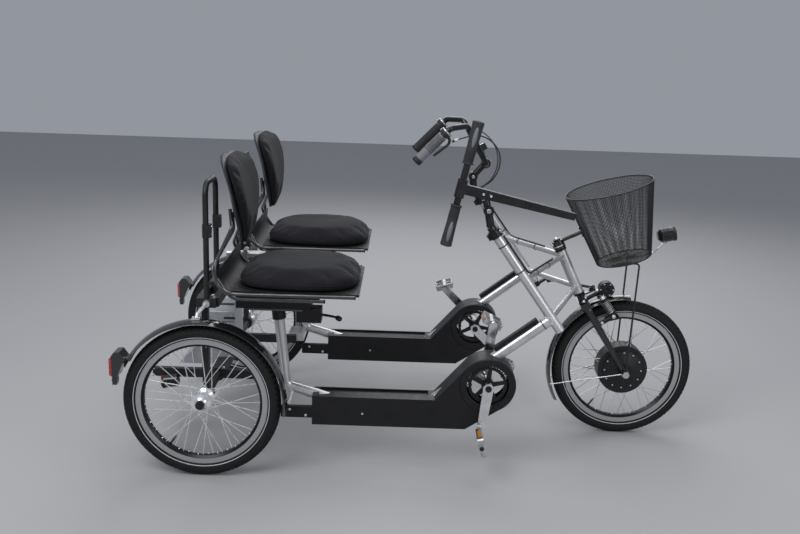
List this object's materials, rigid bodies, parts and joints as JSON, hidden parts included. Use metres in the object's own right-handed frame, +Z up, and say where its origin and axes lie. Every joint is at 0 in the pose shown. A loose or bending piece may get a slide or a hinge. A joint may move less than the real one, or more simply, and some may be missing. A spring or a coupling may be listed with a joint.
{
  "type": "side-by-side tandem tricycle",
  "caption": "Pedal tricycle for riders sitting side by side, with a steered motor-assisted front wheel, padded seats, chaincases and a front basket.",
  "frame": {"origin": "on the ground under the middle of the machine's length and width", "axes": "+X forward, +Y to the machine's left, +Z up"},
  "size_m": [1.96, 1.054, 1.1471],
  "materials": {
    "tyre_rubber": "matt black rubber with a reflective line",
    "rim_alloy": "anodised alloy",
    "hub_alloy": "polished alloy hub and bright spokes",
    "motor_black": "satin black",
    "frame_silver": "silver-grey metallic lacquer",
    "black_paint": "satin black powder coat",
    "stem_black": "anodised black",
    "steel": "bright steel",
    "battery_grey": "silver-grey",
    "case_black": "black moulded plastic",
    "crank_alloy": "polished forged alloy",
    "pedal_alloy": "bright alloy cage",
    "cushion_fabric": "black woven cover",
    "fender_gloss": "gloss black",
    "lamp_lens": "clear and red lens",
    "grip_rubber": "black rubber",
    "bar_black": "satin black",
    "cable_black": "black cable sleeve"
  },
  "bodies": {
    "frame": {"back_hoops": "black_paint", "backrest_left": "cushion_fabric", "backrest_right": "cushion_fabric", "battery_case": "battery_grey", "cable_covers": "case_black", "chaincase_left": "case_black", "chaincase_right": "case_black", "columns": "frame_silver", "cross_tubes": "frame_silver", "fender_stays": "frame_silver", "frame_collars": "stem_black", "head_tube": "frame_silver", "main_tubes": "frame_silver", "passenger_grips": "grip_rubber", "passenger_handle": "black_paint", "passenger_stem": "stem_black", "rear_axle": "black_paint", "rear_fender_left": "fender_gloss", "rear_fender_right": "fender_gloss", "rear_frame": "black_paint", "seat_bases": "black_paint", "seat_cushion_left": "cushion_fabric", "seat_cushion_right": "cushion_fabric", "seat_posts": "frame_silver", "seat_rails": "black_paint", "tail_lights": "lamp_lens"},
    "rear_wheel_right": {"rear_tyre_right": "tyre_rubber", "rear_rim_right": "rim_alloy", "rear_hub_right": "hub_alloy"},
    "rear_wheel_left": {"rear_tyre_left": "tyre_rubber", "rear_rim_left": "rim_alloy", "rear_hub_left": "hub_alloy"},
    "front_wheel": {"front_tyre": "tyre_rubber", "front_rim": "rim_alloy", "front_hub_motor": "motor_black"},
    "cranks_right": {"cranks_right": "crank_alloy", "chainring_right": "case_black"},
    "cranks_left": {"cranks_left": "crank_alloy", "chainring_left": "case_black"},
    "pedal_right_outer": {"pedal_right_outer": "pedal_alloy"},
    "pedal_right_inner": {"pedal_right_inner": "pedal_alloy"},
    "pedal_left_outer": {"pedal_left_outer": "pedal_alloy"},
    "pedal_left_inner": {"pedal_left_inner": "pedal_alloy"},
    "fork": {"fork": "black_paint", "front_brake": "stem_black", "front_fender": "fender_gloss", "basket": "black_paint", "basket_stays": "black_paint", "headlight": "lamp_lens"},
    "driver_steering": {"steering_shaft": "steel", "driver_stem": "stem_black", "driver_handlebar": "bar_black", "driver_grips": "grip_rubber", "driver_controls": "stem_black", "brake_cable_right": "cable_black", "brake_cable_left": "cable_black"},
    "tie_rod": {"tie_rod": "black_paint"}
  },
  "joints": [
    {"name": "rear_wheel_right_spin", "type": "hinge", "parent": "frame", "child": "rear_wheel_right", "pos_m": [-0.695, -0.457, 0.25], "axis": [0, 1, 0], "continuous": true},
    {"name": "rear_wheel_left_spin", "type": "hinge", "parent": "frame", "child": "rear_wheel_left", "pos_m": [-0.695, 0.457, 0.25], "axis": [0, 1, 0], "continuous": true},
    {"name": "steer", "type": "hinge", "parent": "frame", "child": "fork", "pos_m": [0.557, 0, 0.525], "axis": [-0.4384, 0, 0.8988], "range_deg": [-35, 35]},
    {"name": "front_wheel_spin", "type": "hinge", "parent": "fork", "child": "front_wheel", "pos_m": [0.73, 0, 0.25], "axis": [0, 1, 0], "continuous": true},
    {"name": "handlebar_steer", "type": "hinge", "parent": "frame", "child": "driver_steering", "pos_m": [0.445, 0.32, 0.478], "axis": [-0.5868, 0, 0.8098], "range_deg": [-35, 35]},
    {"name": "tie_rod_swing", "type": "hinge", "parent": "driver_steering", "child": "tie_rod", "pos_m": [0.4937, 0.32, 0.496], "axis": [-0.5868, 0, 0.8098], "range_deg": [-35, 35]},
    {"name": "cranks_right_spin", "type": "hinge", "parent": "frame", "child": "cranks_right", "pos_m": [0.215, -0.32, 0.3], "axis": [0, 1, 0], "continuous": true},
    {"name": "cranks_left_spin", "type": "hinge", "parent": "frame", "child": "cranks_left", "pos_m": [0.215, 0.32, 0.3], "axis": [0, 1, 0], "continuous": true},
    {"name": "pedal_right_outer_spin", "type": "hinge", "parent": "cranks_right", "child": "pedal_right_outer", "pos_m": [0.19489, -0.453, 0.13623], "axis": [0, 1, 0], "continuous": true},
    {"name": "pedal_right_inner_spin", "type": "hinge", "parent": "cranks_right", "child": "pedal_right_inner", "pos_m": [0.23511, -0.187, 0.46377], "axis": [0, 1, 0], "continuous": true},
    {"name": "pedal_left_inner_spin", "type": "hinge", "parent": "cranks_left", "child": "pedal_left_inner", "pos_m": [0.33167, 0.187, 0.18333], "axis": [0, 1, 0], "continuous": true},
    {"name": "pedal_left_outer_spin", "type": "hinge", "parent": "cranks_left", "child": "pedal_left_outer", "pos_m": [0.09833, 0.453, 0.41667], "axis": [0, 1, 0], "continuous": true}
  ],
  "couplings": [
    {"joint": "handlebar_steer", "follows": "steer", "ratio": 1},
    {"joint": "tie_rod_swing", "follows": "steer", "ratio": -1}
  ]
}
